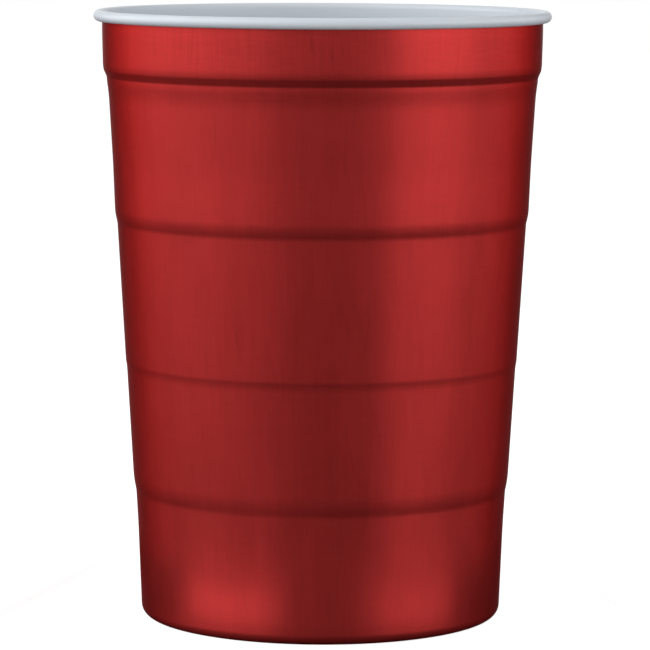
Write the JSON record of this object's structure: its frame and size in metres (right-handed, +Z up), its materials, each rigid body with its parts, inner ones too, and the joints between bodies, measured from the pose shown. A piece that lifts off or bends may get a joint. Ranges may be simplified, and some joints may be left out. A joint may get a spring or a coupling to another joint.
{
  "type": "steel party cup",
  "caption": "Tapered drinking cup of one drawn steel sheet: rolled rim, upright collar, shallow stepped ledges down the wall and a flat standing ring round a recessed base.",
  "frame": {"origin": "middle of the base, on the plane that the cup stands on", "axes": "+Z up along the cup's axis, towards the mouth; the cup is a body of revolution, so +X and +Y have no mark of their own"},
  "size_m": [0.0884, 0.0884, 0.118],
  "materials": {
    "coated_steel": "satin translucent red lacquer over brushed steel outside, pale blue-grey enamel inside and over the rolled rim"
  },
  "bodies": {
    "root": {"cup": "coated_steel"}
  },
  "joints": []
}
